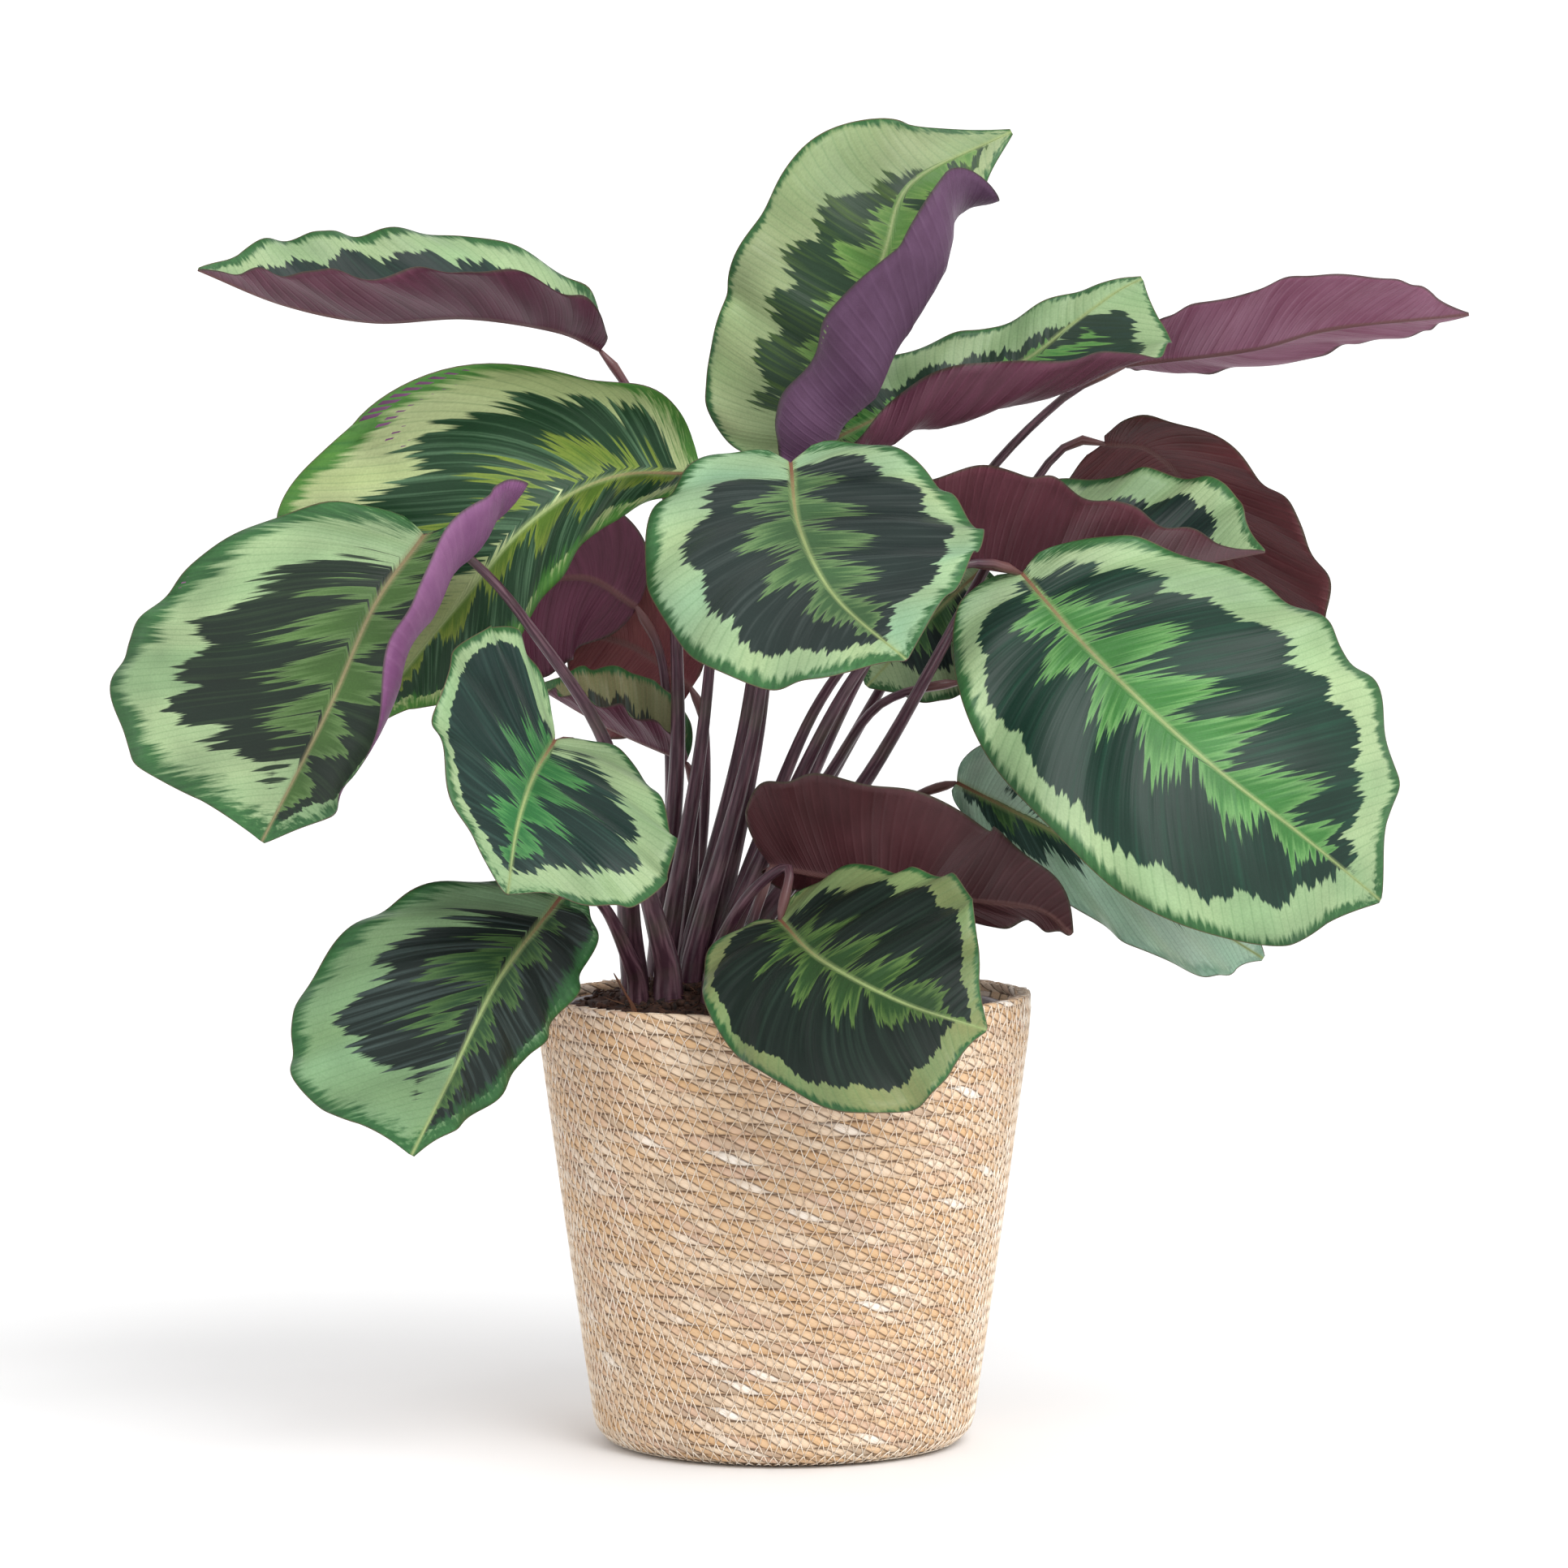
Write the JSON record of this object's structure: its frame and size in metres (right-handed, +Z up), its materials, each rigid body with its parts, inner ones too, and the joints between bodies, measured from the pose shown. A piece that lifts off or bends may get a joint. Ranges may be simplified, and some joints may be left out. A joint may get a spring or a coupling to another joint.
{
  "type": "potted calathea",
  "caption": "House plant with broad patterned leaves on thin stalks, growing in a plastic pot inside a round tapered seagrass basket.",
  "frame": {"origin": "middle of the basket's flat underside, on the surface it stands on", "axes": "+Z up, the plant's front looks along -Y, +X to the right as seen from the front"},
  "size_m": [0.6375, 0.3367, 0.622],
  "materials": {
    "seagrass": "coiled dry seagrass rope, matt",
    "pot_plastic": "satin purple-brown plastic",
    "soil": "dark fibrous potting soil",
    "dry_sheath": "dry brown scale",
    "leaf": "satin leaf: green pattern above, wine purple below",
    "stalk": "smooth plum-brown leaf stalk"
  },
  "bodies": {
    "root": {"basket": "seagrass", "inner_pot": "pot_plastic", "soil": "soil", "dry_sheath": "dry_sheath", "blade_front_centre": "leaf", "blade_right_big": "leaf", "blade_left_front": "leaf", "blade_left_low": "leaf", "blade_front_right_low": "leaf", "blade_left_big": "leaf", "blade_left_upper": "leaf", "blade_top": "leaf", "blade_top_left": "leaf", "blade_upper_right": "leaf", "blade_far_right": "leaf", "blade_right_mid": "leaf", "blade_right_back": "leaf", "blade_right_low_back": "leaf", "blade_right_lowest": "leaf", "blade_back_left_red": "leaf", "blade_left_folded": "leaf", "blade_left_behind": "leaf", "blade_back_right_tan": "leaf", "blade_back_right_low": "leaf", "stalk_front_centre": "stalk", "stalk_right_big": "stalk", "stalk_left_front": "stalk", "stalk_left_low": "stalk", "stalk_front_right_low": "stalk", "stalk_left_big": "stalk", "stalk_left_upper": "stalk", "stalk_top": "stalk", "stalk_top_left": "stalk", "stalk_upper_right": "stalk", "stalk_far_right": "stalk", "stalk_right_mid": "stalk", "stalk_right_back": "stalk", "stalk_right_low_back": "stalk", "stalk_right_lowest": "stalk", "stalk_back_left_red": "stalk", "stalk_left_folded": "stalk", "stalk_left_behind": "stalk", "stalk_back_right_tan": "stalk", "stalk_back_right_low": "stalk"}
  },
  "joints": []
}
